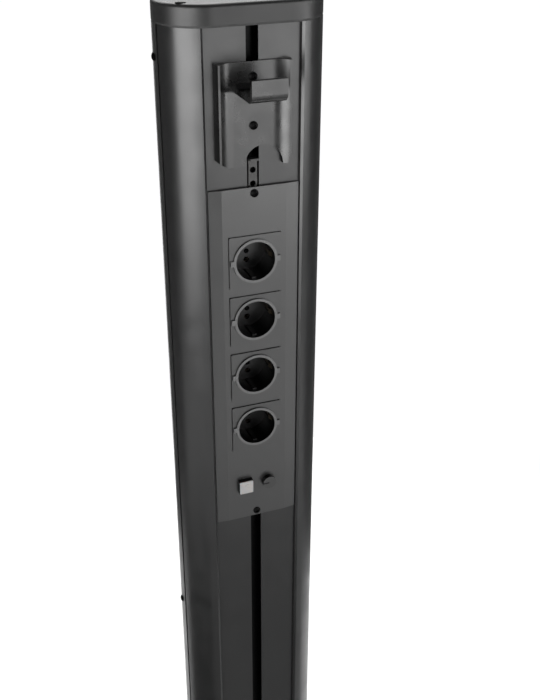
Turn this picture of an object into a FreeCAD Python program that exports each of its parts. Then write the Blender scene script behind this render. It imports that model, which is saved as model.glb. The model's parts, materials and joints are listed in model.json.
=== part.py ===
import FreeCAD, Part
import math
import os
from types import SimpleNamespace

import Sketcher

# Charging post: an extruded column with a socket panel in its front channel, a cable
# cradle above the panel and a hinged service door at the back.
# X runs across the front, Y runs from the front to the back, Z is up.
# The origin is the centre of the base plate's underside.

DIMENSIONS = {
    # base
    "base_width": 240, "base_depth": 210, "base_thick": 10, "base_corner": 12,
    "anchor_spacing_x": 200, "anchor_spacing_y": 160, "anchor_hole": 14,
    "cable_hole": 42, "gasket_thick": 2, "foot_width": 80, "foot_depth": 50,
    "foot_wall": 3, "foot_height": 150,
    # column
    "post_height": 1450, "cap_height": 18, "column_width": 161.6, "column_depth": 87.6,
    "column_wall": 3, "channel_half": 47, "floor_y": -36.9, "floor_thick": 3,
    "lip_chamfer": 2.3, "slot_width": 12, "track_half": 11, "track_depth": 12,
    "track_wall": 2.5, "seam_front": 10.5, "seam_gap": 3, "tongue_reach": 8,
    "tongue_root": 16, "tongue_thick": 2.8, "cover_wall": 2.5,
    "port_x": 62, "port_y": 27.5, "port_radius": 5, "port_bore": 2.5,
    # socket panel
    "panel_top": 1280, "panel_height": 387, "panel_half": 46, "panel_flat": 33,
    "panel_proud": 3.5, "panel_drop": 1.5, "panel_thick": 2, "panel_screw_inset": 6,
    "tray_half": 31, "tray_margin": 15, "tray_depth": 44, "tray_wall": 2,
    "tray_flange": 35, "flange_thick": 1,
    "strip_width": 8.6, "strip_above": 28, "strip_below": 14, "strip_bend": 5.5,
    "strip_hole": 2.3, "strip_pitch": 13.6,
    # sockets
    "socket_side": 54, "socket_first": 75.5, "socket_pitch": 64.2, "insert_proud": 1.3,
    "insert_thick": 3, "ring_proud": 3, "ring_outer": 23, "cup_radius": 20.3,
    "cup_wall": 1.7, "cup_depth": 26, "cup_floor": 2, "tab_reach": 26, "tab_height": 5.7,
    "base_radius": 21, "socket_base_depth": 13, "pin_spacing": 19, "pin_radius": 2.45,
    # controls
    "control_x": 13.6, "control_drop": 342.8, "button_side": 16.4, "button_proud": 5,
    "button_cap_side": 15.2, "knob_radius": 7.6, "knob_height": 5.6,
    # service door
    "door_low": 440, "door_high": 680, "door_half": 33, "door_gap": 0.4,
    "hinge_radius": 2.6, "pin_hinge_radius": 1.3, "lock_x": 18, "lock_z": 652,
    # switchgear
    "gear_z": 560, "module_width": 18, "gear_back": -17.5,
    # cradle
    "cradle_half": 37.5, "cradle_low": 21, "cradle_high": 118, "cradle_lip": 9.1,
}

doc = FreeCAD.newDocument("charging_post")
sheet = doc.addObject("Spreadsheet::Sheet", "Sizes")
for row, (alias, number) in enumerate(DIMENSIONS.items(), start=1):
    sheet.set(f"A{row}", alias)
    sheet.set(f"B{row}", str(number))
    sheet.setAlias(f"B{row}", alias)
doc.recompute()


class Size:
    """A number together with the sheet expression that gives it."""

    def __init__(self, value, text):
        self.value = value
        self.text = text

    def __add__(self, other):
        other = size(other)
        return Size(self.value + other.value, f"({self.text} + {other.text})")

    def __sub__(self, other):
        other = size(other)
        return Size(self.value - other.value, f"({self.text} - {other.text})")

    def __mul__(self, other):
        other = size(other)
        return Size(self.value * other.value, f"({self.text} * {other.text})")

    def __truediv__(self, other):
        other = size(other)
        return Size(self.value / other.value, f"({self.text} / {other.text})")

    def __neg__(self):
        return Size(-self.value, f"(-1 * {self.text})")

    def __radd__(self, other):
        return size(other) + self

    def __rsub__(self, other):
        return size(other) - self

    def __rmul__(self, other):
        return size(other) * self


def size(number):
    """A Size from a Size or a plain number."""
    if isinstance(number, Size):
        return number
    return Size(float(number), f"({float(number)})")


def root(number):
    return Size(math.sqrt(number.value), f"sqrt({number.text})")


def reach(radius, offset):
    """Half the chord of a circle at a distance from its centre."""
    radius = size(radius)
    offset = size(offset)
    return root(radius * radius - offset * offset)


def span(first, second):
    """Two sizes, the lower one first."""
    return sorted((size(first), size(second)), key=lambda item: item.value)


S = SimpleNamespace(**{name: Size(float(number), f"Sizes.{name}")
                       for name, number in DIMENSIONS.items()})
nodes = []


def keep(item, label):
    """Register a finished sub-part under the name of its file."""
    item.Label = label
    nodes.append(item)
    return item


def place(item, x=0, y=0, z=0, rotation=None):
    """Put an object somewhere, with its position bound to the sheet."""
    if rotation is not None:
        item.Placement = FreeCAD.Placement(FreeCAD.Vector(), rotation)
    for axis, amount in (("x", x), ("y", y), ("z", z)):
        item.setExpression(f"Placement.Base.{axis}", size(amount).text)
    return item


# ---------------------------------------------------------------- sketches and features

def sketch_on(body, plane, offset=None):
    """A sketch on one of the body's own origin planes."""
    sketch = body.newObject("Sketcher::SketchObject", "Sketch")
    support = [item for item in body.Origin.OriginFeatures if item.Role == plane][0]
    sketch.AttachmentSupport = (support, [""])
    sketch.MapMode = "FlatFace"
    if offset is not None:
        sketch.setExpression("AttachmentOffset.Base.z", size(offset).text)
    return sketch


def bound(sketch, kind, *references, amount):
    """Add a dimension to a sketch and bind it to the sheet."""
    amount = size(amount)
    index = sketch.addConstraint(Sketcher.Constraint(kind, *references, amount.value))
    sketch.setExpression(f"Constraints[{index}]", amount.text)


def circle(sketch, x, y, radius):
    x, y, radius = size(x), size(y), size(radius)
    centre = FreeCAD.Vector(x.value, y.value, 0)
    geometry = sketch.addGeometry(Part.Circle(centre, FreeCAD.Vector(0, 0, 1), radius.value))
    bound(sketch, "Radius", geometry, amount=radius)
    bound(sketch, "DistanceX", -1, 1, geometry, 3, amount=x)
    bound(sketch, "DistanceY", -1, 1, geometry, 3, amount=y)


def outline(sketch, vertices):
    """A closed outline. A vertex is (x, y), or (x, y, arc) when an arc leads to the next.

    An arc is (turn, centre x, centre y, radius), and turn is 1 anticlockwise, -1 clockwise.
    """
    count = len(vertices)
    ends = []
    for index, vertex in enumerate(vertices):
        x, y = size(vertex[0]), size(vertex[1])
        following = vertices[(index + 1) % count]
        next_x, next_y = size(following[0]), size(following[1])
        start = FreeCAD.Vector(x.value, y.value, 0)
        finish = FreeCAD.Vector(next_x.value, next_y.value, 0)
        if len(vertex) == 2:
            geometry = sketch.addGeometry(Part.LineSegment(start, finish))
            first, last = 1, 2
        else:
            turn, centre_x, centre_y, radius = vertex[2]
            centre = FreeCAD.Vector(size(centre_x).value, size(centre_y).value, 0)
            whole = Part.Circle(centre, FreeCAD.Vector(0, 0, 1), size(radius).value)
            begin = math.atan2(start.y - centre.y, start.x - centre.x)
            stop = math.atan2(finish.y - centre.y, finish.x - centre.x)
            if turn < 0:
                begin, stop = stop, begin
            if stop <= begin:
                stop += 2 * math.pi
            geometry = sketch.addGeometry(Part.ArcOfCircle(whole, begin, stop))
            bound(sketch, "Radius", geometry, amount=radius)
            first, last = (1, 2) if turn > 0 else (2, 1)
        bound(sketch, "DistanceX", -1, 1, geometry, first, amount=x)
        bound(sketch, "DistanceY", -1, 1, geometry, first, amount=y)
        ends.append((geometry, first, last))
    for index, (geometry, _, last) in enumerate(ends):
        following, first, _ = ends[(index + 1) % count]
        sketch.addConstraint(Sketcher.Constraint("Coincident", geometry, last, following, first))


def rectangle(x_low, y_low, x_high, y_high):
    return [(x_low, y_low), (x_high, y_low), (x_high, y_high), (x_low, y_high)]


def rounded(half_x, half_y, corner):
    """A centred rectangle with round corners."""
    inner_x, inner_y = size(half_x) - corner, size(half_y) - corner
    half_x, half_y = size(half_x), size(half_y)
    return [(-inner_x, -half_y), (inner_x, -half_y, (1, inner_x, -inner_y, corner)),
            (half_x, -inner_y), (half_x, inner_y, (1, inner_x, inner_y, corner)),
            (inner_x, half_y), (-inner_x, half_y, (1, -inner_x, inner_y, corner)),
            (-half_x, inner_y), (-half_x, -inner_y, (1, -inner_x, -inner_y, corner))]


def obround(centre, radius):
    """Two half circles, whose centres stand at plus and minus centre on X, and two sides."""
    radius = size(radius)
    right, left = (1, centre, 0, radius), (1, -centre, 0, radius)
    return [(centre, -radius, right), (centre + radius, 0, right), (centre, radius),
            (-centre, radius, left), (-centre - radius, 0, left), (-centre, -radius)]


def mirrored(vertices):
    """The other half of an outline that is symmetric about X = 0, in reverse order."""
    result = []
    for index in range(len(vertices) - 1, -1, -1):
        x, y = vertices[index][:2]
        before = vertices[index - 1] if index else ()
        if len(before) == 3:
            turn, centre_x, centre_y, radius = before[2]
            result.append((-size(x), y, (turn, -size(centre_x), centre_y, radius)))
        else:
            result.append((-size(x), y))
    return result


def new_body(name):
    return doc.addObject("PartDesign::Body", name)


def pad(body, sketch, length, backwards=False):
    """A pad along the plane's normal (-Y for XZ_Plane), or against it if backwards."""
    feature = body.newObject("PartDesign::Pad", "Pad")
    feature.Profile = sketch
    feature.setExpression("Length", size(length).text)
    feature.Reversed = backwards
    return feature


def pocket(body, sketch, depth=None, backwards=False):
    """A pocket along the normal, or against it if backwards, or right through both ways."""
    feature = body.newObject("PartDesign::Pocket", "Pocket")
    feature.Profile = sketch
    if depth is None:
        feature.Type = "ThroughAll"
        feature.SideType = "Symmetric"
    else:
        feature.setExpression("Length", size(depth).text)
        feature.Reversed = not backwards
    return feature


def plate(name, plane, outlines, thickness, circles=(), backwards=False, offset=None):
    """A body padded from closed outlines and circles on one plane."""
    body = new_body(name)
    sketch = sketch_on(body, plane, offset)
    for vertices in outlines:
        outline(sketch, vertices)
    for x, y, radius in circles:
        circle(sketch, x, y, radius)
    pad(body, sketch, thickness, backwards)
    return body


def drill(body, plane, circles, depth=None, backwards=False, offset=None):
    sketch = sketch_on(body, plane, offset)
    for x, y, radius in circles:
        circle(sketch, x, y, radius)
    return pocket(body, sketch, depth, backwards)


def cut_out(body, plane, outlines, depth=None, backwards=False, offset=None):
    sketch = sketch_on(body, plane, offset)
    for vertices in outlines:
        outline(sketch, vertices)
    return pocket(body, sketch, depth, backwards)


def build_on(body, plane, outlines, length, circles=(), backwards=False, offset=None):
    sketch = sketch_on(body, plane, offset)
    for vertices in outlines:
        outline(sketch, vertices)
    for x, y, radius in circles:
        circle(sketch, x, y, radius)
    return pad(body, sketch, length, backwards)


def turned(name, vertices):
    """A body of revolution about Z, from an outline of (radius, height) vertices."""
    body = new_body(name)
    sketch = sketch_on(body, "XZ_Plane")
    outline(sketch, vertices)
    feature = body.newObject("PartDesign::Revolution", "Revolution")
    feature.Profile = sketch
    feature.ReferenceAxis = (sketch, ["V_Axis"])
    feature.Angle = 360
    return body


# ---------------------------------------------------------------- primitives

TO_FRONT = FreeCAD.Rotation(FreeCAD.Vector(1, 0, 0), 90)
TO_BACK = FreeCAD.Rotation(FreeCAD.Vector(1, 0, 0), -90)
TO_RIGHT = FreeCAD.Rotation(FreeCAD.Vector(0, 1, 0), 90)
TO_LEFT = FreeCAD.Rotation(FreeCAD.Vector(0, 1, 0), -90)
DOWN = FreeCAD.Rotation(FreeCAD.Vector(1, 0, 0), 180)


def box(name, x_low, y_low, z_low, length, width, height):
    item = doc.addObject("Part::Box", name)
    for key, amount in (("Length", length), ("Width", width), ("Height", height)):
        item.setExpression(key, size(amount).text)
    return place(item, x_low, y_low, z_low)


def rod(name, radius, length, x, y, z, rotation=None):
    item = doc.addObject("Part::Cylinder", name)
    item.setExpression("Radius", size(radius).text)
    item.setExpression("Height", size(length).text)
    return place(item, x, y, z, rotation)


def hexagon(name, corner_radius, length, x, y, z, rotation=None):
    item = doc.addObject("Part::Prism", name)
    item.Polygon = 6
    item.setExpression("Circumradius", size(corner_radius).text)
    item.setExpression("Height", size(length).text)
    return place(item, x, y, z, rotation)


def fused(name, items):
    joined = doc.addObject("Part::MultiFuse", name)
    joined.Shapes = items
    return joined


def without(name, item, tools):
    difference = doc.addObject("Part::Cut", name)
    difference.Base = item
    difference.Tool = tools[0] if len(tools) == 1 else fused(f"{name}_tools", tools)
    return difference


def group(items):
    """Separate solids that share one node."""
    together = doc.addObject("Part::Compound", "Group")
    together.Links = items
    return together


def screw(head_radius, head_height, shank_radius, length, x, y, z, rotation):
    """A domed screw with a hexagon socket. Its head sits on the point given, facing away."""
    dome = head_radius * 1.6
    lift = reach(dome, head_radius)
    top = dome - lift
    body = turned("screw", [
        (0, -size(length)), (shank_radius, -size(length)), (shank_radius, 0),
        (head_radius, 0), (head_radius, size(head_height) - top,
                           (1, 0, size(head_height) - dome, dome)),
        (0, head_height)])
    socket = sketch_on(body, "XY_Plane", head_height)
    corner = size(head_radius) * 0.5
    half = corner * (math.sqrt(3) / 2)
    outline(socket, [(corner, 0), (corner / 2, half), (-corner / 2, half), (-corner, 0),
                     (-corner / 2, -half), (corner / 2, -half)])
    pocket(body, socket, size(head_height) * 0.6, backwards=True)
    return place(body, x, y, z, rotation)


# ---------------------------------------------------------------- column

radius = S.column_depth / 2
end = S.column_width / 2 - radius
column_low = S.base_thick + S.gasket_thick
column_high = S.post_height - S.cap_height - S.gasket_thick
column_length = column_high - column_low
seam_back = S.seam_gap - S.seam_front
inner = radius - S.column_wall
floor_back = S.floor_y + S.floor_thick
track_back = S.floor_y + S.track_depth
track_outer = track_back + S.track_wall
track_side = S.track_half + S.track_wall
tongue_inner = inner - S.tongue_thick
wall_x = S.channel_half + S.column_wall
panel_low = S.panel_top - S.panel_height
cutout = rectangle(-(S.tray_half + 1), panel_low + S.tray_margin - 1,
                   S.tray_half + 1, S.panel_top - S.tray_margin + 1)
cover_screw_heights = (90, 760, 1400)
foot_bolt_heights = (60, 120)


def arc(centre_x, arc_radius, turn=1):
    return (turn, centre_x, 0, arc_radius)


def ports(y):
    """The screw ports of the extrusions, which take the base and cap screws."""
    return [(S.port_x, y), (-S.port_x, y)]


def front_profile():
    """The front extrusion: two lobes, the sunk channel floor and the track behind its slot."""
    half = [
        (S.slot_width / 2, S.floor_y),
        (S.channel_half, S.floor_y),
        (S.channel_half, -reach(radius, S.channel_half - end) + S.lip_chamfer),
        (S.channel_half + S.lip_chamfer,
         -reach(radius, S.channel_half + S.lip_chamfer - end), arc(end, radius)),
        (end + reach(radius, S.seam_front), -S.seam_front),
        (end + reach(inner, S.seam_front), -S.seam_front, arc(end, inner)),
        (end + reach(inner, S.tongue_reach), S.tongue_reach),
        (end + reach(tongue_inner, S.tongue_reach), S.tongue_reach, arc(end, tongue_inner, -1)),
        (end + reach(tongue_inner, S.tongue_root), -S.tongue_root),
        (end + reach(inner, S.tongue_root), -S.tongue_root, arc(end, inner, -1)),
        (wall_x, -reach(inner, wall_x - end)),
        (wall_x, floor_back),
        (track_side, floor_back),
        (track_side, track_outer),
    ]
    track = [(-S.slot_width / 2, floor_back), (-S.track_half, floor_back),
             (-S.track_half, track_back), (S.track_half, track_back),
             (S.track_half, floor_back), (S.slot_width / 2, floor_back)]
    body = plate("front_profile", "XY_Plane", [half + mirrored(half) + track], column_length)
    build_on(body, "XY_Plane", [], column_length,
             circles=[(x, y, S.port_radius) for x, y in ports(-S.port_y)])
    drill(body, "XY_Plane", [(x, y, S.port_bore) for x, y in ports(-S.port_y)])
    lowered = [(x, z - column_low) for x, z in cutout]
    cut_out(body, "XZ_Plane", [lowered])
    drill(body, "XZ_Plane", [(0, z - column_low, 4.2) for z in foot_bolt_heights])
    drill(body, "YZ_Plane", [(1, z - column_low, 2.05) for z in cover_screw_heights])
    keep(place(body, 0, 0, column_low), "front_profile")


front_profile()

door_centre = (S.door_low + S.door_high) / 2
hinge_x = -(S.door_half + S.door_gap)
hinge_y = radius + S.hinge_radius
hinge_heights = (500, 620)
KNUCKLE = 9
hinge_bore = S.pin_hinge_radius + 0.05


def knuckle(body, low, length, leaf_x, base_y, frame_z):
    """A hinge knuckle on the hinge axis, with the leaf that carries it."""
    axis_y = hinge_y - base_y
    left, right = span(leaf_x, hinge_x)
    build_on(body, "XY_Plane", [rectangle(left, radius - 0.6 - base_y, right, axis_y)], length,
             offset=low - frame_z)
    build_on(body, "XY_Plane", [], length, circles=[(hinge_x, axis_y, S.hinge_radius)],
             offset=low - frame_z)
    drill(body, "XY_Plane", [(hinge_x, axis_y, hinge_bore)], length, offset=low - frame_z)


def rear_cover():
    """The rear extrusion, which closes the column and carries the door."""
    inside = radius - S.cover_wall
    section = [
        (end + reach(radius, seam_back), seam_back, arc(end, radius)),
        (end, radius), (-end, radius, arc(-end, radius)),
        (-end - reach(radius, seam_back), seam_back),
        (-end - reach(inside, seam_back), seam_back, arc(-end, inside, -1)),
        (-end, inside), (end, inside, arc(end, inside, -1)),
        (end + reach(inside, seam_back), seam_back),
    ]
    body = plate("rear_cover", "XY_Plane", [section], column_length)
    build_on(body, "XY_Plane", [], column_length,
             circles=[(x, y, S.port_radius) for x, y in ports(S.port_y)])
    drill(body, "XY_Plane", [(x, y, S.port_bore) for x, y in ports(S.port_y)])
    opening = S.door_half + S.door_gap
    cut_out(body, "XZ_Plane", [rectangle(-opening, S.door_low - S.door_gap - column_low,
                                         opening, S.door_high + S.door_gap - column_low)])
    drill(body, "YZ_Plane", [(1, z - column_low, 2.2) for z in cover_screw_heights])
    for z in hinge_heights:
        for low in (z - KNUCKLE - 0.3, z + KNUCKLE + 0.3):
            knuckle(body, size(low), KNUCKLE, -end, size(0), column_low)
    keep(place(body, 0, 0, column_low), "rear_cover")


rear_cover()

keep(group([screw(size(3.8), 2.2, 2, 7, side * (S.column_width / 2 + 0.05), 1, z, rotation)
            for side, rotation in ((1, TO_RIGHT), (-1, TO_LEFT))
            for z in cover_screw_heights]), "rear_cover_screws")

# ---------------------------------------------------------------- base

anchors = [(side_x * S.anchor_spacing_x / 2, side_y * S.anchor_spacing_y / 2)
           for side_x in (-1, 1) for side_y in (-1, 1)]
foot_front = track_outer + 0.3
foot_centre = foot_front + S.foot_depth / 2
port_places = ports(-S.port_y) + ports(S.port_y)


def base_plate():
    body = plate("base_plate", "XY_Plane",
                 [rounded(S.base_width / 2, S.base_depth / 2, S.base_corner)], S.base_thick)
    drill(body, "XY_Plane", [(x, y, S.anchor_hole / 2) for x, y in anchors])
    drill(body, "XY_Plane", [(0, foot_centre, S.cable_hole / 2)])
    drill(body, "XY_Plane", [(x, y, 2.7) for x, y in port_places])
    drill(body, "XY_Plane", [(x, y, 5) for x, y in port_places], 5)
    keep(place(body), "base_plate")


base_plate()
keep(place(plate("foot_gasket", "XY_Plane",
                 [obround(end, radius - 0.3), obround(end, radius - 14)], S.gasket_thick,
                 circles=[(x, y, 2.7) for x, y in port_places]), 0, 0, S.base_thick),
     "foot_gasket")


def foot_spigot():
    """The steel tube welded on the base plate, which the column slides over."""
    half_x, half_y = S.foot_width / 2, S.foot_depth / 2
    body = plate("foot_spigot", "XY_Plane",
                 [rounded(half_x, half_y, 5),
                  rounded(half_x - S.foot_wall, half_y - S.foot_wall, 2)], S.foot_height)
    build_on(body, "XY_Plane", [rounded(half_x - 1, half_y - 1, 2)], 2,
             offset=S.foot_height - 2)
    drill(body, "XY_Plane", [(0, 0, 12.7)], 2, backwards=True, offset=S.foot_height)
    drill(body, "XZ_Plane", [(0, z - S.base_thick, 4.2) for z in foot_bolt_heights], 30)
    keep(place(body, 0, foot_centre, S.base_thick), "foot_spigot")


foot_spigot()
keep(group([screw(size(6.5), 4, 4, 18, 0, track_back - 0.1, z, TO_FRONT)
            for z in foot_bolt_heights]), "foot_bolts")
keep(group([screw(size(4.6), 2.8, 2.45, 26, x, y, 5, DOWN) for x, y in port_places]),
     "base_screws")


def cable_gland():
    """The gland in the spigot's top plate: body with a hexagon, locknut side below."""
    top = S.base_thick + S.foot_height
    hexagon_part = hexagon("gland_hexagon", 18, 8, 0, foot_centre, top)
    shank = rod("gland_shank", 12.4, 26, 0, foot_centre, top - 10)
    dome = rod("gland_dome", 15, 9, 0, foot_centre, top + 8)
    bore = rod("gland_bore", 9, 60, 0, foot_centre, top - 20)
    keep(without("gland", fused("gland_solid", [hexagon_part, shank, dome]), [bore]),
         "cable_gland")


cable_gland()


def earth_stud():
    """The stud on the base plate for the protective conductor, with a washer and a nut."""
    x, y, z = size(56), size(0), S.base_thick
    keep(group([
        fused("stud", [rod("stud_shank", 3, 24, x, y, z), rod("stud_foot", 6, 2, x, y, z)]),
        without("stud_washer", rod("washer_disc", 6.5, 1.4, x, y, z + 10),
                [rod("washer_hole", 3.15, 3, x, y, z + 9)]),
        without("stud_nut", hexagon("nut_body", 5.8, 5, x, y, z + 12),
                [rod("nut_hole", 3.15, 7, x, y, z + 11)]),
    ]), "earth_stud")


earth_stud()

# ---------------------------------------------------------------- cap

def top_cap():
    body = plate("top_cap", "XY_Plane", [obround(end, radius)], S.cap_height)
    doc.recompute()
    top_edges = [f"Edge{index + 1}" for index, edge in enumerate(body.Shape.Edges)
                 if all(abs(vertex.Z - S.cap_height.value) < 1e-6 for vertex in edge.Vertexes)]
    block = body.Tip
    fillet = body.newObject("PartDesign::Fillet", "Fillet")
    fillet.Base = (block, top_edges)
    fillet.Radius = 4
    drill(body, "XY_Plane", [(x, y, 2.7) for x, y in port_places])
    drill(body, "XY_Plane", [(x, y, 5) for x, y in port_places], 5, backwards=True,
          offset=S.cap_height)
    keep(place(body, 0, 0, S.post_height - S.cap_height), "top_cap")


top_cap()
keep(place(plate("cap_gasket", "XY_Plane",
                 [obround(end, radius - 0.4), obround(end, radius - 14)], S.gasket_thick,
                 circles=[(x, y, 2.7) for x, y in port_places]), 0, 0, column_high),
     "cap_gasket")
keep(group([screw(size(4.6), 2.8, 2.45, 26, x, y, S.post_height - 5, None)
            for x, y in port_places]), "cap_screws")

# ---------------------------------------------------------------- socket panel

panel_y = S.floor_y - S.panel_proud
panel_screw_heights = (S.panel_top - S.panel_screw_inset, panel_low + S.panel_screw_inset)
socket_heights = [S.panel_top - S.socket_first - index * S.socket_pitch for index in range(4)]
control_z = S.panel_top - S.control_drop
SOCKET_CLEARANCE = 0.3


def face_plate():
    """The panel: sheet metal whose two sides are bent back a few degrees."""
    edge_y = panel_y + S.panel_drop
    back = S.panel_thick
    section = [(-S.panel_flat, panel_y), (S.panel_flat, panel_y), (S.panel_half, edge_y),
               (S.panel_half, edge_y + back), (S.panel_flat, panel_y + back),
               (-S.panel_flat, panel_y + back), (-S.panel_half, edge_y + back),
               (-S.panel_half, edge_y)]
    body = plate("face_plate", "XY_Plane", [section], S.panel_height)
    half = S.socket_side / 2 + SOCKET_CLEARANCE
    cut_out(body, "XZ_Plane", [rectangle(-half, z - panel_low - half, half, z - panel_low + half)
                               for z in socket_heights])
    drill(body, "XZ_Plane", [(0, z - panel_low, 2.3) for z in panel_screw_heights])
    drill(body, "XZ_Plane", [(-S.control_x, control_z - panel_low, 7.3),
                             (S.control_x, control_z - panel_low, 4)])
    keep(place(body, 0, 0, panel_low), "face_plate")


face_plate()

nut_y = floor_back + 0.2


def slot_nut(z, y):
    block = box("nut_block", -8, y, size(z) - 4, 16, 4, 8)
    hole = rod("nut_bore", 2.1, 12, 0, y - 2, z, TO_BACK)
    return without("slot_nut", block, [hole])


cradle_screw_heights = (S.panel_top + 59.4, S.panel_top + 104.4)


def mounting_strip():
    """The perforated strip that lies in the slot, with its top end bent forward."""
    low = S.panel_top - S.strip_below
    length = S.strip_above + S.strip_below
    half = S.strip_width / 2
    front = S.floor_y + 0.5
    thick = floor_back - front
    body = plate("mounting_strip", "XZ_Plane", [rectangle(-half, 0, half, length)], thick,
                 backwards=True)
    build_on(body, "XZ_Plane", [rectangle(-half, length - 2, half, length)], S.strip_bend,
             backwards=False)
    drill(body, "XZ_Plane", [(0, S.strip_below + rise, 3)
                             for rise in (S.strip_hole, S.strip_hole + S.strip_pitch)])
    drill(body, "XZ_Plane", [(0, S.strip_below - S.panel_screw_inset, 2.3)])
    keep(place(body, 0, front, low), "mounting_strip")


mounting_strip()
keep(group([slot_nut(z, nut_y) for z in panel_screw_heights + cradle_screw_heights]),
     "slot_nuts")


def socket_tray():
    """The sheet tray behind the panel, clamped by its flange between panel and floor."""
    low = panel_low + S.tray_margin
    high = S.panel_top - S.tray_margin
    front = S.floor_y - S.flange_thick - 0.1
    flange = box("tray_flange", -S.tray_flange, front, low + 2 - 5, S.tray_flange * 2,
                 S.flange_thick, high - low + 6)
    shell = box("tray_shell", -S.tray_half, front, low, S.tray_half * 2, S.tray_depth,
                high - low)
    hollow = box("tray_hollow", -S.tray_half + S.tray_wall, front - 1, low + S.tray_wall,
                 (S.tray_half - S.tray_wall) * 2, S.tray_depth - S.tray_wall + 1,
                 high - low - S.tray_wall * 2)
    holes = [rod("tray_hole", 1.7, 10, 0, front + S.tray_depth - 6, z, TO_BACK)
             for z in socket_heights]
    keep(without("tray", fused("tray_solid", [flange, shell]), [hollow] + holes),
         "socket_tray")


socket_tray()

insert_y = panel_y - S.insert_proud
ring_y = panel_y - S.ring_proud
cup_outer = S.cup_radius + S.cup_wall
cup_floor_y = panel_y + S.cup_depth
base_y = cup_floor_y + S.cup_floor
strap_half = S.cup_radius + 0.2
STRAP = 1.2


def socket_cover(number, z):
    """The moulding of one socket: square frame, ring with two tabs, and round cup."""
    side = S.socket_side / 2
    body = plate(f"cover_{number}", "XZ_Plane", [rounded(side, side, 1.2)], S.insert_thick,
                 backwards=True, offset=-insert_y)
    build_on(body, "XZ_Plane", [], base_y - ring_y, circles=[(0, 0, cup_outer)],
             backwards=True, offset=-ring_y)
    build_on(body, "XZ_Plane", [], S.ring_proud, circles=[(0, 0, S.ring_outer)],
             backwards=True, offset=-ring_y)
    half = S.tab_height / 2
    build_on(body, "XZ_Plane", [rectangle(-S.tab_reach, -half, S.tab_reach, half)],
             S.ring_proud, backwards=True, offset=-ring_y)
    drill(body, "XZ_Plane", [(0, 0, S.cup_radius)], cup_floor_y - ring_y, backwards=True,
          offset=-ring_y)
    guide = 2.2
    for turn in (-1, 1):
        rib = span(turn * (S.cup_radius - 1.2), turn * (S.cup_radius + 0.5))
        build_on(body, "XZ_Plane", [rectangle(-guide, rib[0], guide, rib[1])],
                 cup_floor_y - panel_y - 3, backwards=True, offset=-(panel_y + 3))
        slot = span(turn * (S.cup_radius - 0.3), turn * (cup_outer + 0.3))
        cut_out(body, "XZ_Plane", [rectangle(slot[0], -half, slot[1], half)],
                base_y - panel_y - 5, backwards=True, offset=-(panel_y + 5))
    drill(body, "XZ_Plane", [(0, S.pin_spacing / 2, 3), (0, -S.pin_spacing / 2, 3),
                             (0, 0, 1.7)])
    keep(place(body, 0, 0, z), f"socket_cover_{number}")


def socket_base(number, z):
    """The insulating base behind the cup, with bores for the contacts and strap grooves."""
    body = plate(f"base_{number}", "XZ_Plane", [], S.socket_base_depth - 0.2,
                 circles=[(0, 0, S.base_radius)], backwards=True, offset=-(base_y + 0.1))
    bores = [(0, S.pin_spacing / 2, 3.6), (0, -S.pin_spacing / 2, 3.6)]
    drill(body, "XZ_Plane", bores + [(0, 0, 1.7)])
    half = S.tab_height / 2
    for turn in (-1, 1):
        groove = span(turn * (strap_half - 0.1), turn * (S.base_radius + 2))
        cut_out(body, "XZ_Plane", [rectangle(groove[0], -half, groove[1], half)])
    keep(place(body, 0, 0, z), f"socket_base_{number}")


def earth_strap(number, z):
    """The bent strap that carries both side contacts of one socket."""
    back = base_y + S.socket_base_depth
    front = panel_y + 6
    half = S.tab_height / 2 - 0.3
    bump = front + 7
    side = [(strap_half, back), (strap_half, bump + 4), (strap_half - 1.6, bump),
            (strap_half, bump - 4), (strap_half, front), (strap_half + STRAP, front),
            (strap_half + STRAP, back + STRAP)]
    body = plate(f"strap_{number}", "XY_Plane", [side + mirrored(side)], half * 2,
                 offset=-half)
    drill(body, "XZ_Plane", [(0, 0, 1.7)])
    keep(place(body, 0, 0, z), f"earth_strap_{number}")


def contact_sleeves(number, z):
    """The two split sleeves that take the plug's pins."""
    sleeves = []
    for turn in (-1, 1):
        centre = z + turn * S.pin_spacing / 2
        tube = rod("sleeve", 3.5, S.socket_base_depth - 3.5, 0, base_y + 3.2, centre, TO_BACK)
        bore = rod("sleeve_bore", S.pin_radius, 20, 0, base_y - 2, centre, TO_BACK)
        split = box("sleeve_split", -0.4, base_y + 2, centre, 0.8, 7, 5)
        sleeves.append(without("sleeve_cut", tube, [bore, split]))
    keep(group(sleeves), f"contact_sleeves_{number}")


for number, z in enumerate(socket_heights, start=1):
    socket_cover(number, z)
    socket_base(number, z)
    earth_strap(number, z)
    contact_sleeves(number, z)
keep(group([screw(size(2.6), 1.4, 1.5, 22, 0, cup_floor_y, z, TO_FRONT)
            for z in socket_heights]), "socket_screws")

# ---------------------------------------------------------------- push button

button_face = panel_y - S.button_proud
cavity_floor = panel_y - 0.6
barrel_back = panel_y + 20
stem_back = panel_y + 17
CAP_THICK = 2.2
cap_front = button_face - 0.9


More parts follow.
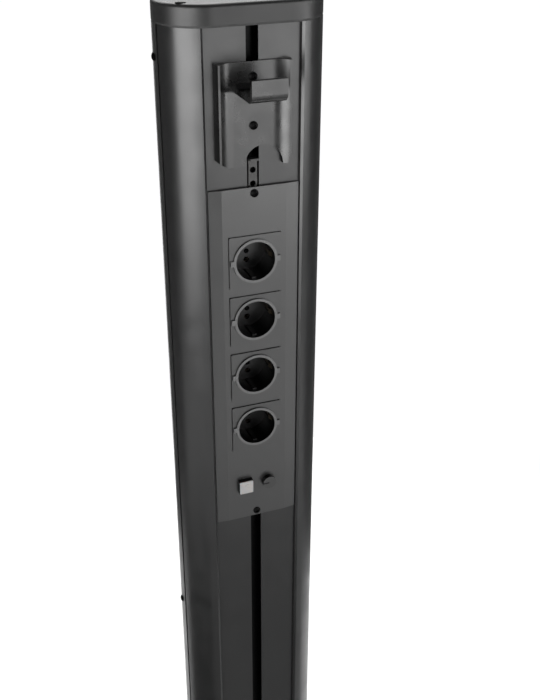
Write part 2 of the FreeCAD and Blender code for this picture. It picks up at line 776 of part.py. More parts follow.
def push_button():
    side = S.button_side / 2
    hollow = S.button_cap_side / 2 + 0.2
    housing = plate("button_housing", "XZ_Plane", [rounded(side, side, 1)], S.button_proud,
                    backwards=True, offset=-button_face)
    build_on(housing, "XZ_Plane", [], barrel_back - panel_y, circles=[(0, 0, 7.2)],
             backwards=True, offset=-panel_y)
    cut_out(housing, "XZ_Plane", [rounded(hollow, hollow, 0.8)], cavity_floor - button_face,
            backwards=True, offset=-button_face)
    drill(housing, "XZ_Plane", [(0, 0, 5.2)], 12, backwards=True, offset=-cavity_floor)
    drill(housing, "XZ_Plane", [(0, 0, 2.6)])
    keep(place(housing, -S.control_x, 0, control_z), "button_housing")

    side = S.button_cap_side / 2
    cap = plate("button_cap", "XZ_Plane", [rounded(side, side, 0.7)], CAP_THICK,
                backwards=True, offset=-cap_front)
    build_on(cap, "XZ_Plane", [], stem_back - cap_front, circles=[(0, 0, 2.5)],
             backwards=True, offset=-cap_front)
    keep(place(cap, -S.control_x, 0, control_z), "button_cap")

    nut = without("nut_ring", hexagon("nut_hexagon", 10.6, 3, -S.control_x,
                                      panel_y + S.panel_thick + 0.1, control_z, TO_BACK),
                  [rod("nut_ring_bore", 7.3, 6, -S.control_x, panel_y, control_z, TO_BACK)])
    keep(nut, "button_nut")

    switch = box("switch", -S.control_x - 8, barrel_back + 0.2, control_z - 8, 16, 16, 16)
    keep(switch, "button_switch")


def button_spring():
    """The return spring round the button's stem, made as one closed coil."""
    wire = 0.45
    length = cavity_floor + 12 - (cap_front + CAP_THICK)
    coil = Part.makeHelix(length.value / 5, length.value - wire * 2 - 0.1, 4.2)
    start = FreeCAD.Vector(4.2, 0, 0)
    ring = Part.Wire([Part.makeCircle(wire, start, FreeCAD.Vector(0, 1, 0))])
    spring = doc.addObject("Part::Feature", "button_spring")
    spring.Shape = Part.Wire(coil.Edges).makePipeShell([ring], True, True)
    place(spring, -S.control_x, cap_front + CAP_THICK + wire + 0.05, control_z, TO_BACK)
    keep(spring, "button_spring")


push_button()
button_spring()

# ---------------------------------------------------------------- selector knob

knob_back = panel_y - 0.4
knob_front = knob_back - S.knob_height
SPINDLE = 3


def selector():
    knob = plate("knob", "XZ_Plane", [], S.knob_height, circles=[(0, 0, S.knob_radius)],
                 backwards=True, offset=-knob_front)
    drill(knob, "XZ_Plane", [(0, 0, 6.3)], 2.4, backwards=False, offset=-knob_back)
    drill(knob, "XZ_Plane", [(0, 0, SPINDLE)], 4, backwards=False, offset=-knob_back)
    cut_out(knob, "XZ_Plane", [rectangle(-S.knob_radius - 1, -0.6, -0.5, 0.6)], 1.2,
            backwards=True, offset=-knob_front)
    keep(place(knob, S.control_x, 0, control_z), "knob")
    keep(rod("spindle", SPINDLE, 19, S.control_x, knob_back - 4, control_z, TO_BACK),
         "knob_spindle")
    block = box("selector_block", S.control_x - 9, panel_y + S.panel_thick + 0.1,
                control_z - 10, 18, 20, 20)
    bush = rod("selector_bush", 3.9, 5, S.control_x, panel_y - 2, control_z, TO_BACK)
    ring = hexagon("selector_nut", 5.8, 2, S.control_x, panel_y - 2.1, control_z, TO_BACK)
    bore = rod("selector_bore", SPINDLE + 0.05, 19, S.control_x, panel_y - 3, control_z, TO_BACK)
    keep(without("selector", fused("selector_solid", [block, bush, ring]), [bore]),
         "selector_switch")


selector()

# ---------------------------------------------------------------- service door

door_y = radius - S.cover_wall
LOCK_RADIUS = 7
CAM_Y = 33.6


def service_door():
    body = plate("service_door", "XZ_Plane",
                 [rectangle(-S.door_half, S.door_low, S.door_half, S.door_high)],
                 S.cover_wall, backwards=True, offset=-door_y)
    for z in hinge_heights:
        knuckle(body, size(z), KNUCKLE, -S.door_half + 6, size(0), size(0))
    drill(body, "XZ_Plane", [(S.lock_x, S.lock_z, LOCK_RADIUS + 0.1)])
    keep(place(body), "service_door")
    keep(group([rod("hinge_pin", S.pin_hinge_radius, KNUCKLE * 3 + 1, hinge_x, hinge_y,
                    z - KNUCKLE - 0.8) for z in hinge_heights]), "hinge_pins")


def door_frame():
    """The rebate frame behind the door opening, and the seal that lies on it."""
    front = door_y - 4
    half = S.door_half
    flange = [rectangle(-half - 3, S.door_low - 6, half + 3, S.door_high + 6),
              rectangle(-half + 4, S.door_low + 4, half - 4, S.door_high - 4)]
    body = plate("door_frame", "XZ_Plane", flange, 2, backwards=True, offset=-front)
    rim = [rectangle(-half - 3, S.door_low - 6, half + 3, S.door_high + 6),
           rectangle(-half - 0.6, S.door_low - 0.6, half + 0.6, S.door_high + 0.6)]
    build_on(body, "XZ_Plane", rim, 3.9, backwards=True, offset=-front)
    keep(place(body), "door_frame")
    seal = plate("door_seal", "XZ_Plane",
                 [rectangle(-half, S.door_low, half, S.door_high),
                  rectangle(-half + 3, S.door_low + 3, half - 3, S.door_high - 3)],
                 1.4, backwards=True, offset=-(front + 2.1))
    keep(place(seal), "door_seal")


def door_lock():
    """A quarter-turn cam lock: housing and nut on the door, plug and cam that turn."""
    housing = fused("lock_solid", [
        rod("lock_head", 9, 1.8, S.lock_x, radius + 0.1, S.lock_z, TO_BACK),
        rod("lock_body", LOCK_RADIUS, 8, S.lock_x, radius + 0.1 - 7.9, S.lock_z, TO_BACK)])
    keep(without("lock_housing", housing,
                 [rod("lock_bore", 4.6, 20, S.lock_x, radius - 12, S.lock_z, TO_BACK)]),
         "lock_housing")
    keep(without("lock_ring", hexagon("lock_hexagon", 10.5, 3, S.lock_x, door_y - 3.2, S.lock_z,
                                      TO_BACK),
                 [rod("lock_ring_bore", LOCK_RADIUS + 0.1, 8, S.lock_x, door_y - 5, S.lock_z,
                      TO_BACK)]), "lock_nut")
    plug = rod("plug_body", 4.54, 11, S.lock_x, CAM_Y, S.lock_z, TO_BACK)
    key_slot = box("key_slot", S.lock_x - 0.6, CAM_Y + 7, S.lock_z - 3, 1.2, 5, 6)
    keep(without("lock_plug_cut", plug, [key_slot]), "lock_plug")
    cam = without("cam_cut", box("cam_bar", S.lock_x - 5, CAM_Y, S.lock_z - 6, 10, 1.6, 24),
                  [rod("cam_hole", 4.56, 6, S.lock_x, CAM_Y - 2, S.lock_z, TO_BACK)])
    keep(cam, "lock_cam")


service_door()
door_frame()
door_lock()

# ---------------------------------------------------------------- switchgear

nose_y = 33.0
LEVER_RADIUS = 4


def din_rail():
    """The top-hat rail, 35 mm high, screwed across the back of the track."""
    back = track_outer + 0.2
    half, web, thick, deep = 17.5, 12.5, 1, 6.5
    section = [(back, -web), (back, web), (back + deep - thick, web),
               (back + deep - thick, half), (back + deep, half), (back + deep, web - thick),
               (back + thick, web - thick), (back + thick, thick - web),
               (back + deep, thick - web), (back + deep, -half),
               (back + deep - thick, -half), (back + deep - thick, -web)]
    length = 74
    body = plate("din_rail", "YZ_Plane", [section], length, offset=-length / 2)
    keep(place(body, 0, 0, S.gear_z), "din_rail")


def module_case(name, x_low, modules, levers):
    """The case of one DIN-rail device, with a slot in its nose for each lever."""
    back = S.gear_back
    side = [(back, -42), (back + 40, -42), (back + 40, -22), (nose_y, -22), (nose_y, 22),
            (back + 40, 22), (back + 40, 42), (back, 42), (back, 18), (back + 3, 18),
            (back + 3, -18), (back, -18)]
    body = plate(name, "YZ_Plane", [side], S.module_width * modules - 0.3)
    for centre in levers:
        cut_out(body, "XZ_Plane", [rectangle(centre - 3.4, -10, centre + 3.4, 10)], 11.5,
                backwards=False, offset=-nose_y)
        drill(body, "YZ_Plane", [(nose_y - 5.4, 0, 1.2)], S.module_width * modules - 3)
    return place(body, x_low, 0, S.gear_z)


def lever(name, x):
    """A switch lever that turns about X, with its pivot pin."""
    hub = rod("lever_hub", LEVER_RADIUS, 5.6, x - 2.8, nose_y - 5.4, S.gear_z, TO_RIGHT)
    paddle = box("lever_paddle", 0, 0, 0, 5.6, 10.5, 2.8)
    tilt = FreeCAD.Rotation(FreeCAD.Vector(1, 0, 0), 30)
    place(paddle, x - 2.8, nose_y - 5.4 + 0.7, S.gear_z - 1.2, tilt)
    pin = rod("lever_pin", 1.15, 8.4, x - 4.2, nose_y - 5.4, S.gear_z, TO_RIGHT)
    keep(fused(f"{name}_solid", [hub, paddle, pin]), name)


def switchgear():
    left = -1.5 * S.module_width
    rcd = module_case("rcd", left, 2, [10])
    button_x = 25
    drill(rcd, "XZ_Plane", [(button_x, 10, 3)], 8, offset=-nose_y)
    keep(rcd, "rcd_body")
    lever("rcd_lever", left + 10)
    keep(rod("rcd_test", 2.7, 6.5, left + button_x, nose_y - 4.5, S.gear_z + 10, TO_BACK),
         "rcd_test_button")
    keep(module_case("breaker", left + 2 * S.module_width, 1, [9]), "breaker_body")
    lever("breaker_lever", left + 2 * S.module_width + 9)


def terminal_block():
    """The supply terminals: a moulded bar with a row of clamping screws."""
    count, spacing, height = 5, 12, 28
    width = count * spacing
    bar = box("terminal_bar", -width / 2, track_outer + 0.3, 240, width, 22, height)
    wells = []
    for index in range(count):
        x = (index - (count - 1) / 2) * spacing
        wells.append(rod("terminal_well", 3, 6, x, track_outer + 17, 248, TO_BACK))
        wells.append(rod("terminal_entry", 2.6, 16, x, track_outer + 9, 236))
    keep(without("terminals", bar, wells), "terminal_block")


din_rail()
switchgear()
terminal_block()

# ---------------------------------------------------------------- cable cradle

def cable_cradle():
    """The dished cradle on the track above the panel, with its saddle for coiled cable.

    Its lower edge is arched on the right, which leaves a claw at that side.
    """
    flat_y = S.floor_y - 2.5
    lip_y = S.floor_y - S.cradle_lip
    lip_x = S.cradle_half - 4
    bend, rise = 14.5, flat_y - lip_y
    curve = (rise * rise + bend * bend) / (rise * 2)
    half = [(lip_x - bend, flat_y, (-1, lip_x - bend, flat_y - curve, curve)),
            (lip_x, lip_y), (lip_x + 2, lip_y), (S.cradle_half, S.floor_y - 0.1)]
    low = S.panel_top + S.cradle_low
    height = S.cradle_high - S.cradle_low
    body = plate("cable_cradle", "XY_Plane", [half + mirrored(half)], height)
    drill(body, "XZ_Plane", [(9.8, 0.5, 18.8)])
    corner = S.cradle_half + 1
    cut_out(body, "XZ_Plane", [[(-corner, -1), (-24, -1), (-corner, 9)]])
    cut_out(body, "XZ_Plane", [[(31, -1), (corner, -1), (corner, 12), (35.3, 8), (33.6, 2.5)]])
    drill(body, "XZ_Plane", [(0, z - low, 2.2) for z in cradle_screw_heights])
    keep(place(body, 0, 0, low), "cable_cradle")

    top = S.panel_top + 90
    shelf, lift, thick = 44, 16, 5
    front = flat_y - 0.1
    profile = [(front, 0), (front, thick + 4), (front - 4, thick),
               (front - shelf + 9, thick, (-1, front - shelf + 9, thick + 4, 4)),
               (front - shelf + 5, thick + 4), (front - shelf + 5, thick + lift),
               (front - shelf, thick + lift), (front - shelf, 8, (1, front - shelf + 8, 8, 8)),
               (front - shelf + 8, 0)]
    hook = plate("cable_hook", "YZ_Plane", [profile], 34, offset=-17)
    keep(place(hook, 0, 0, top), "cable_hook")


cable_cradle()
track_screw_places = ([(panel_y, z) for z in panel_screw_heights]
                      + [(S.floor_y - 2.6, z) for z in cradle_screw_heights])
keep(group([screw(size(4), 2.4, 2, 14, 0, y, z, TO_FRONT) for y, z in track_screw_places]),
     "track_screws")

# ---------------------------------------------------------------- checks and files

doc.recompute()
for item in doc.Objects:
    if {"Invalid", "Error"} & set(item.State):
        raise RuntimeError(f"{item.Label} ({item.Name}) failed: {item.State}")
    if item.isDerivedFrom("PartDesign::Pocket"):
        if item.Shape.Volume > item.BaseFeature.Shape.Volume - 1e-3:
            raise RuntimeError(f"{item.Name} of {item.getParentGeoFeatureGroup().Label} cuts nothing")
os.makedirs("parts", exist_ok=True)
for item in nodes:
    if item.Shape.isNull() or not item.Shape.isValid():
        raise RuntimeError(f"{item.Label} has no valid shape")
    item.Shape.exportStep(f"parts/{item.Label}.step")
    print(f"{item.Label}: {len(item.Shape.Solids)} solids, {item.Shape.Volume:.1f} mm3")
print(f"{len(nodes)} sub-parts")
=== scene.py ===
import json
import math

import bpy
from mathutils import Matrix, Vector


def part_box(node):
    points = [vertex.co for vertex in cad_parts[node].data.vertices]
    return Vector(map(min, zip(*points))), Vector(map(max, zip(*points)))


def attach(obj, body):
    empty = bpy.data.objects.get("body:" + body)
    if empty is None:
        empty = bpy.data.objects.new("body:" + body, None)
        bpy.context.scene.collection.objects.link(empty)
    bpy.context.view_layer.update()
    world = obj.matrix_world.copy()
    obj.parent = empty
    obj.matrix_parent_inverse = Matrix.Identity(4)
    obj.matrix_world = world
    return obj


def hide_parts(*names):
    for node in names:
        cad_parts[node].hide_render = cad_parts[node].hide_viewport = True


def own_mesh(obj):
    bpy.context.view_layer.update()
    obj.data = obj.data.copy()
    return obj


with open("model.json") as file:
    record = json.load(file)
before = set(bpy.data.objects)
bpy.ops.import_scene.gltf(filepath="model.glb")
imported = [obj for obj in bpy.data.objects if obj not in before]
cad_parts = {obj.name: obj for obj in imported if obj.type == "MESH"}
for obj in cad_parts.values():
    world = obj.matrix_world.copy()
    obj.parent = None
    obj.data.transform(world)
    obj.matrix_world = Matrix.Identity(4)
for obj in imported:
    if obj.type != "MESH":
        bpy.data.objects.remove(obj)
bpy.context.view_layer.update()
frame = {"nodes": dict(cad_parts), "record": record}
nodes = frame["nodes"]
MM = 0.001
DUST = (0.20, 0.185, 0.165, 1)
DUST_TOP = 0.42  # how high the dust from the ground reaches
# The track's extent also bounds the painted shade that darkens the slot.
TRACK_HALF = 11.4 * MM  # the hidden track behind the front slot, across X
TRACK_FRONT = -36.8 * MM  # and along Y
TRACK_BACK = -16.0 * MM


# ---------------------------------------------------------------- shader building

class Shader:
    """One material's node tree, with short calls for the nodes that the finishes share."""

    def __init__(self, name):
        self.material = bpy.data.materials.new(name)
        self.material.use_nodes = True
        self.tree = self.material.node_tree
        self.bsdf = self.tree.nodes["Principled BSDF"]
        coordinates = self.add("ShaderNodeTexCoord").outputs
        self.place = coordinates["Object"]
        self.normal = coordinates["Normal"]

    def add(self, kind, inputs=None, **settings):
        node = self.tree.nodes.new(kind)
        for key, value in settings.items():
            setattr(node, key, value)
        for key, value in (inputs or {}).items():
            if isinstance(value, bpy.types.NodeSocket):
                self.tree.links.new(value, node.inputs[key])
            else:
                node.inputs[key].default_value = value
        return node

    def stretched(self, factors):
        """The object's own coordinates, in metres, scaled along each axis."""
        return self.add("ShaderNodeVectorMath", {0: self.place, 1: factors},
                        operation="MULTIPLY").outputs[0]

    def noise(self, grain, detail=2.0, rough=0.5, distortion=0.0, stretch=(1, 1, 1)):
        """Noise from 0 to 1 whose blobs are about grain metres across."""
        return self.add("ShaderNodeTexNoise",
                        {"Vector": self.stretched(stretch), "Scale": 1 / grain, "Detail": detail,
                         "Roughness": rough, "Distortion": distortion}).outputs["Fac"]

    def cells(self, grain, output="Distance"):
        """Cells about grain metres across: the distance to each centre, or a colour for each."""
        return self.add("ShaderNodeTexVoronoi", {"Vector": self.place, "Scale": 1 / grain},
                        feature="F1").outputs[output]

    def ramp(self, value, low, high, out_low=0.0, out_high=1.0):
        """value carried from low..high to out_low..out_high, smoothly and clamped."""
        return self.add("ShaderNodeMapRange",
                        {"Value": value, "From Min": low, "From Max": high,
                         "To Min": out_low, "To Max": out_high},
                        interpolation_type="SMOOTHSTEP").outputs["Result"]

    def math(self, operation, first, second=0.0):
        return self.add("ShaderNodeMath", {0: first, 1: second}, operation=operation).outputs[0]

    def axis(self, source, letter):
        """One component of a vector."""
        return self.add("ShaderNodeSeparateXYZ", {0: source}).outputs[letter]

    def mix(self, share, first, second):
        """A colour between two colours, by share."""
        node = self.add("ShaderNodeMix", data_type="RGBA")
        for socket, value in ((node.inputs[0], share), (node.inputs[6], first),
                              (node.inputs[7], second)):
            if isinstance(value, bpy.types.NodeSocket):
                self.tree.links.new(value, socket)
            else:
                socket.default_value = value
        return node.outputs[2]

    def set(self, **inputs):
        """Inputs of the shader itself; an underscore in a name stands for a space."""
        for key, value in inputs.items():
            name = key.replace("_", " ")
            if isinstance(value, bpy.types.NodeSocket):
                self.tree.links.new(value, self.bsdf.inputs[name])
            else:
                self.bsdf.inputs[name].default_value = value

    def bump(self, height, depth, under=None):
        """A bump whose full height is depth metres, over another bump if one is given."""
        inputs = {"Height": height, "Distance": depth, "Strength": 1.0}
        if under is not None:
            inputs["Normal"] = under
        return self.add("ShaderNodeBump", inputs).outputs["Normal"]


def grey(level, warmth=0.0):
    """A linear grey, a little warm or cool."""
    return (level * (1 + warmth), level, level * (1 - warmth), 1)


def shade(colour, factor):
    """A colour made lighter or darker by a factor."""
    return tuple(min(1.0, channel * factor) for channel in colour[:3]) + (1,)


def mottled(shader, colour):
    """A colour that drifts lighter and darker over patches, with finer specks."""
    drift = shader.ramp(shader.noise(55 * MM, detail=4.0, rough=0.6), 0.3, 0.7)
    base = shader.mix(drift, shade(colour, 0.95), shade(colour, 1.05))
    specks = shader.ramp(shader.noise(0.35 * MM, detail=1.0), 0.45, 0.75, 0.0, 0.10)
    return shader.mix(specks, base, shade(colour, 2.2))


def scuffs(shader, amount, stretch=(1.0, 1.0, 0.06)):
    """A mask of sparse fine scratches, mostly along Z."""
    lines = shader.noise(0.7 * MM, detail=2.0, rough=0.6, distortion=0.4, stretch=stretch)
    areas = shader.ramp(shader.noise(60 * MM, detail=3.0), 0.5, 0.72)
    return shader.math("MULTIPLY", shader.ramp(lines, 0.69, 0.80, 0.0, amount), areas)


def track_shade(shader):
    """Painted shade: a mask of the track's inside, behind the front profile's slot, that darkens
    it.
    """
    across = shader.math("ABSOLUTE", shader.axis(shader.place, "X"))
    depth = shader.axis(shader.place, "Y")
    between = shader.ramp(across, TRACK_HALF, TRACK_HALF + 0.5 * MM, 0.95, 0.0)
    behind = shader.ramp(depth, TRACK_FRONT, TRACK_FRONT + 0.8 * MM)
    before = shader.ramp(depth, TRACK_BACK, TRACK_BACK + 2 * MM, 1.0, 0.0)
    return shader.math("MULTIPLY", between, shader.math("MULTIPLY", behind, before))


def coat(name, colour, rough=0.36, texture=0.55 * MM, depth=0.012 * MM, dusty=True, specular=0.5,
         shaded_track=False):
    """Powder coat: a fine orange peel, cloudy gloss, faint scuffs, dust near the ground, and
    painted shade inside the slot's track where asked.
    """
    shader = Shader(name)
    base = mottled(shader, colour)
    marks = scuffs(shader, 0.5)
    base = shader.mix(marks, base, shade(colour, 2.6))
    if dusty:
        low = shader.ramp(shader.axis(shader.place, "Z"), DUST_TOP, 0.0, 0.0, 0.34)
        patches = shader.ramp(shader.noise(18 * MM, detail=5.0, rough=0.65), 0.38, 0.72)
        base = shader.mix(shader.math("MULTIPLY", low, patches), base, DUST)
    cloud = shader.ramp(shader.noise(24 * MM, detail=3.0), 0.25, 0.75,
                        rough - 0.035, rough + 0.045)
    peel = shader.noise(texture * 2.4, detail=2.0, rough=0.55)
    grain = shader.noise(texture, detail=1.0)
    waves = shader.bump(peel, depth * 2.2)
    # Painted shade in the slot: metallic over the near-black base darkens the track's inside.
    if shaded_track:
        shader.set(Metallic=track_shade(shader))
    shader.set(Base_Color=base, Specular_IOR_Level=specular,
               Roughness=shader.math("ADD", cloud, shader.math("MULTIPLY", marks, 0.2)),
               Normal=shader.bump(grain, depth, under=waves))
    return shader.material


def painted_shade_and_highlight(shader, base, walls, rim):
    """Painted shade and highlight: a mask that darkens the side walls and the cup's deep floor, and
    the base colour with a painted highlight on the cup's ring.

    walls is how dark the painted shade makes the faces across Y; rim is the front of a socket's
    ring along Y, or None.
    """
    facing = shader.math("ABSOLUTE", shader.axis(shader.normal, "Y"))
    # Painted shade on the side walls: metallic over the near-black base darkens faces turned across
    # Y.
    tarnish_and_wall_shade = shader.ramp(facing, 0.45, 0.85, walls, 0.0)
    if rim is None:
        return base, tarnish_and_wall_shade
    depth = shader.axis(shader.place, "Y")
    # Painted highlight: the front of the cup's ring is lightened towards grey.
    wear_and_rim_highlight = shader.ramp(depth, rim + 0.6 * MM, rim + 1.6 * MM, 0.8, 0.0)
    # Painted shade: deep in the cup, metallic over the near-black base darkens the floor.
    cup_shade = shader.ramp(depth, rim + 18 * MM, rim + 24 * MM, 0.0, 0.45)
    return shader.mix(wear_and_rim_highlight, base, grey(0.05)), shader.math("MAXIMUM", tarnish_and_wall_shade, cup_shade)


def moulded(name, colour, rough=0.42, grain=0.28 * MM, depth=0.008 * MM, handled=0.0,
            specular=0.5, flow=0.05, rim=None, walls=0.0):
    """Moulded plastic: spark-eroded grain, slight flow shading, a polish where it is handled, and
    painted shade on side walls where walls is set.
    """
    shader = Shader(name)
    drift = shader.ramp(shader.noise(16 * MM, detail=3.0, stretch=(1, 1, 0.5)), 0.3, 0.7)
    base = shader.mix(drift, shade(colour, 1 - flow), shade(colour, 1 + flow))
    specks = shader.ramp(shader.cells(grain * 2), 0.08, 0.3, 0.10, 0.0)
    base = shader.mix(specks, base, shade(colour, 1.5))
    marks = scuffs(shader, 0.10, stretch=(0.35, 1.0, 1.0))
    base = shader.mix(marks, base, shade(colour, 1.8))
    worn = shader.ramp(shader.noise(22 * MM, detail=3.0), 0.3, 0.7,
                       rough + 0.03, rough - 0.03 - handled)
    # Painted shade on the side walls and in socket cups, and a painted highlight on a socket ring's
    # front.
    if walls:
        base, tarnish_and_wall_shade = painted_shade_and_highlight(shader, base, walls, rim)
        shader.set(Metallic=tarnish_and_wall_shade)
    pits = shader.bump(shader.cells(grain), depth)
    shader.set(Base_Color=base, Roughness=worn, Specular_IOR_Level=specular,
               Normal=shader.bump(shader.noise(grain * 3, detail=1.0), depth * 0.8, under=pits))
    return shader.material


def zinc(name, colour, rough=0.34, spangle=6 * MM):
    """Zinc on steel: soft crystal patches, dull stains, a fine drawn grain."""
    shader = Shader(name)
    facets = shader.add("ShaderNodeSeparateColor", {0: shader.cells(spangle, "Color")}).outputs[0]
    tone = shader.ramp(facets, 0.0, 1.0)
    base = shader.mix(tone, shade(colour, 0.84), shade(colour, 1.10))
    stain = shader.ramp(shader.noise(9 * MM, detail=5.0, rough=0.7), 0.52, 0.78, 0.0, 0.45)
    base = shader.mix(stain, base, shade(colour, 0.55))
    lines = shader.noise(0.3 * MM, detail=2.0, stretch=(1, 1, 0.08))
    gloss = shader.math("ADD", shader.ramp(tone, 0.0, 1.0, rough - 0.06, rough + 0.08),
                        shader.math("MULTIPLY", stain, 0.35))
    shader.set(Base_Color=base, Metallic=1.0, Roughness=gloss,
               Normal=shader.bump(lines, 0.006 * MM))
    return shader.material


def plated(name, colour, rough):
    """Turned or stamped plated metal: fine tool lines, light tarnish, rubbed bright spots."""
    shader = Shader(name)
    tarnish_and_wall_shade = shader.ramp(shader.noise(3.5 * MM, detail=5.0, rough=0.7), 0.45, 0.75, 0.0, 0.3)
    base = shader.mix(tarnish_and_wall_shade, colour, shade(colour, 0.5))
    tool = shader.noise(0.25 * MM, detail=2.0, stretch=(1, 1, 0.1))
    lines = shader.ramp(tool, 0.3, 0.7, rough - 0.05, rough + 0.07)
    shader.set(Base_Color=base, Metallic=1.0,
               Roughness=shader.math("ADD", lines, shader.math("MULTIPLY", tarnish_and_wall_shade, 0.4)),
               Normal=shader.bump(tool, 0.004 * MM))
    return shader.material


def blackened(name, colour, rough):
    """Black-oxide screws: dark iron with rubbed grey high spots and tool lines."""
    shader = Shader(name)
    wear_and_rim_highlight = shader.ramp(shader.noise(1.3 * MM, detail=4.0, rough=0.7), 0.56, 0.78, 0.0, 0.25)
    base = shader.mix(wear_and_rim_highlight, colour, grey(0.07))
    tool = shader.noise(0.18 * MM, detail=2.0)
    shader.set(Base_Color=base, Metallic=0.95,
               Roughness=shader.ramp(tool, 0.3, 0.7, rough - 0.06, rough + 0.1),
               Normal=shader.bump(tool, 0.005 * MM))
    return shader.material


def rubber(name, colour):
    """Extruded rubber: dull, with a faint bloom and fine pores."""
    shader = Shader(name)
    bloom = shader.ramp(shader.noise(7 * MM, detail=5.0, rough=0.7), 0.5, 0.8, 0.0, 0.3)
    base = shader.mix(bloom, colour, grey(0.10, 0.03))
    pores = shader.cells(0.35 * MM)
    shader.set(Base_Color=base, Roughness=shader.ramp(bloom, 0.0, 0.3, 0.62, 0.78),
               Normal=shader.bump(pores, 0.012 * MM))
    return shader.material


def lens(name, colour):
    """A white push button lens: satin, slightly deep, faintly greyed where fingers press."""
    shader = Shader(name)
    touch = shader.ramp(shader.noise(4 * MM, detail=4.0, rough=0.65), 0.5, 0.8, 0.0, 0.28)
    base = shader.mix(touch, colour, shade(colour, 0.82))
    shader.set(Base_Color=base, Subsurface_Weight=0.25, Subsurface_Scale=0.6 * MM,
               Roughness=shader.ramp(touch, 0.0, 0.28, 0.30, 0.22),
               Normal=shader.bump(shader.noise(0.22 * MM, detail=1.0), 0.003 * MM))
    return shader.material


ring_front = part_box("socket_cover_1")[0].y
satin_black = grey(0.0035)
cool_black = grey(0.0035, -0.015)
FINISHES = {
    # The column coat gets painted shade inside the slot's track.
    "column_coat": coat("column_coat", cool_black, rough=0.31, specular=0.66, shaded_track=True),
    "cap_plastic": moulded("cap_plastic", grey(0.006), rough=0.42),
    "base_coat": coat("base_coat", grey(0.007), rough=0.40, texture=0.8 * MM, depth=0.02 * MM),
    "panel_coat": coat("panel_coat", grey(0.0045), rough=0.34, dusty=False, specular=1.0),
    "door_coat": coat("door_coat", cool_black, rough=0.31, dusty=False, specular=0.66),
    # For the socket, walls and rim paint shade on the side walls and deep in the cup, and a
    # highlight on the ring's front.
    "socket_plastic": moulded("socket_plastic", satin_black, rough=0.33, handled=0.01,
                              specular=1.0, rim=ring_front, walls=0.96),
    "insulator": moulded("insulator", grey(0.006), rough=0.36, specular=1.0),
    "contact_brass": plated("contact_brass", (0.060, 0.050, 0.036, 1), rough=0.42),
    # walls here and on the knob and cradle below paints shade on their side walls.
    "button_black": moulded("button_black", grey(0.004), rough=0.34, handled=0.06, walls=0.95),
    "button_white": lens("button_white", grey(0.205, 0.02)),
    "knob_plastic": moulded("knob_plastic", satin_black, rough=0.36, handled=0.05,
                            specular=0.9, walls=0.95),
    "dark_screw": blackened("dark_screw", grey(0.003), rough=0.44),
    "zinc_steel": zinc("zinc_steel", grey(0.50, -0.01)),
    "strip_steel": zinc("strip_steel", grey(0.065, 0.01), rough=0.42, spangle=4 * MM),
    "lock_metal": plated("lock_metal", grey(0.60, 0.015), rough=0.2),
    "rubber": rubber("rubber", grey(0.010)),
    "gland_plastic": moulded("gland_plastic", grey(0.030), rough=0.48),
    "gear_plastic": moulded("gear_plastic", grey(0.52, 0.01), rough=0.40, flow=0.02),
    "lever_plastic": moulded("lever_plastic", (0.020, 0.034, 0.085, 1), rough=0.36,
                             handled=0.05),
    "test_plastic": moulded("test_plastic", (0.48, 0.30, 0.04, 1), rough=0.38),
    "terminal_plastic": moulded("terminal_plastic", grey(0.34, 0.02), rough=0.46, flow=0.03),
    "cradle_plastic": moulded("cradle_plastic", satin_black, rough=0.32, depth=0.006 * MM,
                              handled=0.04, specular=0.7, walls=0.85),
}
for part in frame["record"]["subparts"]:
    mesh = nodes[part["node"]].data
    mesh.materials.clear()
    mesh.materials.append(FINISHES[part["material_slot"]])


# ---------------------------------------------------------------- the button's return spring

def return_spring():
    """A copy of the CAD coil with a mesh of its own, attached to the post; it stands for the rigid
    CAD coil, which is hidden.
    """
    coil = bpy.data.objects.new("button_coil", nodes["button_spring"].data.copy())
    bpy.context.scene.collection.objects.link(coil)
    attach(coil, "post")
    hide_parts("button_spring")
    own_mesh(coil)


return_spring()


# ---------------------------------------------------------------- floor, light and camera

def area_light(name, place, target, width, height, radiance):
    """A softbox that faces its target and doesn't show itself."""
    data = bpy.data.lights.new(name, "AREA")
    data.shape = "RECTANGLE"
    data.size = width
    data.size_y = height
    data.energy = radiance * math.pi * width * height
    item = bpy.data.objects.new(name, data)
    item.location = place
    item.rotation_euler = (Vector(target) - Vector(place)).to_track_quat("-Z", "Y").to_euler()
    item.visible_camera = False
    bpy.context.scene.collection.objects.link(item)


RING_STEPS = 32


def sweep(name, rings):
    """A surface through rings of points that all have the same count."""
    count = len(rings[0])
    faces = [(row * count + index, row * count + index + 1,
              (row + 1) * count + index + 1, (row + 1) * count + index)
             for row in range(len(rings) - 1) for index in range(count - 1)]
    mesh = bpy.data.meshes.new(name)
    mesh.from_pydata([point for points in rings for point in points], [], faces)
    item = bpy.data.objects.new(name, mesh)
    item.visible_diffuse = False
    item.visible_shadow = False
    item.visible_transmission = False
    bpy.context.scene.collection.objects.link(item)
    return item


def card(name, rings, level):
    """A grey studio card, seen only in the object's reflections."""
    item = sweep(name, rings)
    item.visible_camera = False
    shader = Shader(name)
    tone = shader.noise(0.4, detail=2.0)
    shader.set(Base_Color=shader.mix(tone, grey(level * 0.9), grey(level * 1.1)), Roughness=0.9)
    item.data.materials.append(shader.material)


def backdrop(name, rings, level):
    """A pale backdrop beyond the lit floor, seen only by the camera."""
    item = sweep(name, rings)
    item.visible_glossy = False
    shader = Shader(name)
    tone = shader.noise(0.8, detail=2.0)
    shader.set(Base_Color=grey(0.0), Specular_IOR_Level=0.0, Emission_Strength=1.0,
               Emission_Color=shader.mix(tone, grey(level * 0.985), grey(level)))
    item.data.materials.append(shader.material)


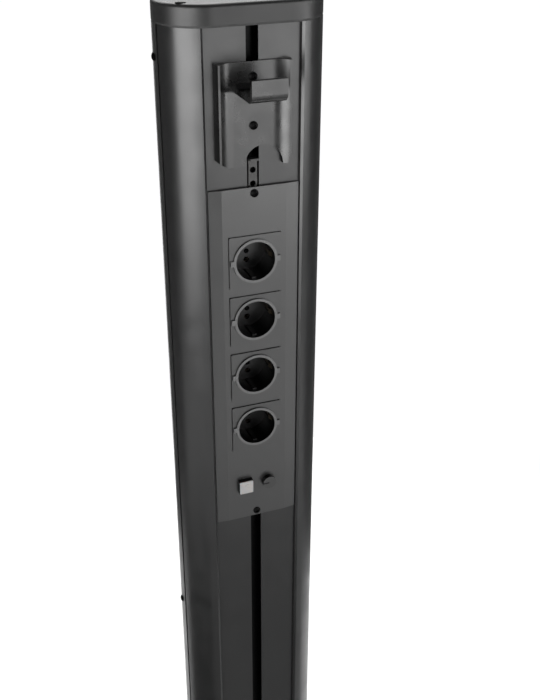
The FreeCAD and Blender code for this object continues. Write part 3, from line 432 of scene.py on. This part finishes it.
def ring(radius, height, start, stop):
    """Points round the object; angles in degrees from the front, turning to the right."""
    turns = [math.radians(start + (stop - start) * index / RING_STEPS)
             for index in range(RING_STEPS + 1)]
    return [(radius * math.sin(turn), -radius * math.cos(turn), height) for turn in turns]


def floor_material():
    shader = Shader("floor_pale")
    tone = shader.ramp(shader.noise(0.35, detail=4.0), 0.3, 0.7)
    shader.set(Base_Color=shader.mix(tone, grey(0.86), grey(0.90)), Roughness=0.9,
               Specular_IOR_Level=0.1,
               Normal=shader.bump(shader.noise(2.5 * MM, detail=2.0), 0.05 * MM))
    return shader.material


FLOOR_HALF = 14.0
floor_mesh = bpy.data.meshes.new("floor")
floor_mesh.from_pydata([(-FLOOR_HALF, -FLOOR_HALF, 0.0), (FLOOR_HALF, -FLOOR_HALF, 0.0),
                        (FLOOR_HALF, FLOOR_HALF, 0.0), (-FLOOR_HALF, FLOOR_HALF, 0.0)],
                       [], [(0, 1, 2, 3)])
floor_mesh.materials.append(floor_material())
floor = bpy.data.objects.new("floor", floor_mesh)
bpy.context.scene.collection.objects.link(floor)

FLAG_TOP = 1.7
LAID = 0.004  # height of the cards that lie on the floor
card("flag_right", (ring(1.0, 0.0, 72, 172), ring(1.0, FLAG_TOP, 72, 172)), 0.11)
card("flag_left", (ring(1.1, 0.0, -172, -98), ring(1.1, FLAG_TOP, -172, -98)), 0.11)
card("flag_floor_left", (ring(0.16, LAID, -120, -36), ring(1.35, LAID, -120, -36)), 0.05)
card("flag_floor_front", (ring(0.16, LAID, -36, 80), ring(1.4, LAID, -36, 80)), 0.23)

BACKDROP_RADIUS = 13.5
backdrop("backdrop", (ring(1.5, 0.002, 0, 360), ring(BACKDROP_RADIUS, 0.002, 0, 360),
                      ring(BACKDROP_RADIUS, 14.0, 0, 360)), 1.03)

world = bpy.data.worlds.new("studio")
bpy.context.scene.world = world
world.use_nodes = True
background = world.node_tree.nodes["Background"]
background.inputs["Color"].default_value = (0.97, 0.985, 1.0, 1)
background.inputs["Strength"].default_value = 0.06
bpy.context.scene.view_settings.view_transform = "Standard"

LIGHTS = (  # name, place, target, width, height, radiance
    ("key", (-1.34, -1.04, 1.28), (0, 0, 1.2), 1.7, 1.45, 6.6),
    ("front", (1.15, -1.85, 1.15), (0, 0, 1.05), 1.9, 1.3, 3.1),
    ("edge", (1.75, -0.95, 1.35), (0, 0, 1.15), 0.42, 1.2, 6.6),
    ("front_floor", (1.3, -3.4, 2.4), (1.2, -3.2, 0), 2.0, 1.2, 6.0),
    ("back_floor", (0.6, 2.2, 3.0), (0.5, 2.1, 0), 3.6, 3.0, 2.9),
    ("far_floor", (4.5, 9.0, 5.5), (4.5, 9.0, 0), 14.0, 10.0, 2.2),
)
for name, place, target, width, height, radiance in LIGHTS:
    area_light(name, place, target, width, height, radiance)

camera_data = bpy.data.cameras.new("camera")
camera_data.sensor_width = 36.0
camera_data.lens = 52.29
camera = bpy.data.objects.new("camera", camera_data)
CAMERA_PLACE = Vector((-0.3132, -0.9119, 1.6017))
CAMERA_TURN = math.radians(20.69)
CAMERA_TILT = math.radians(28.26)
look = Vector((math.sin(CAMERA_TURN) * math.cos(CAMERA_TILT),
               math.cos(CAMERA_TURN) * math.cos(CAMERA_TILT), -math.sin(CAMERA_TILT)))
camera.location = CAMERA_PLACE
camera.rotation_euler = look.to_track_quat("-Z", "Y").to_euler()
camera_data.clip_start = 0.05
bpy.context.scene.collection.objects.link(camera)
bpy.context.scene.camera = camera
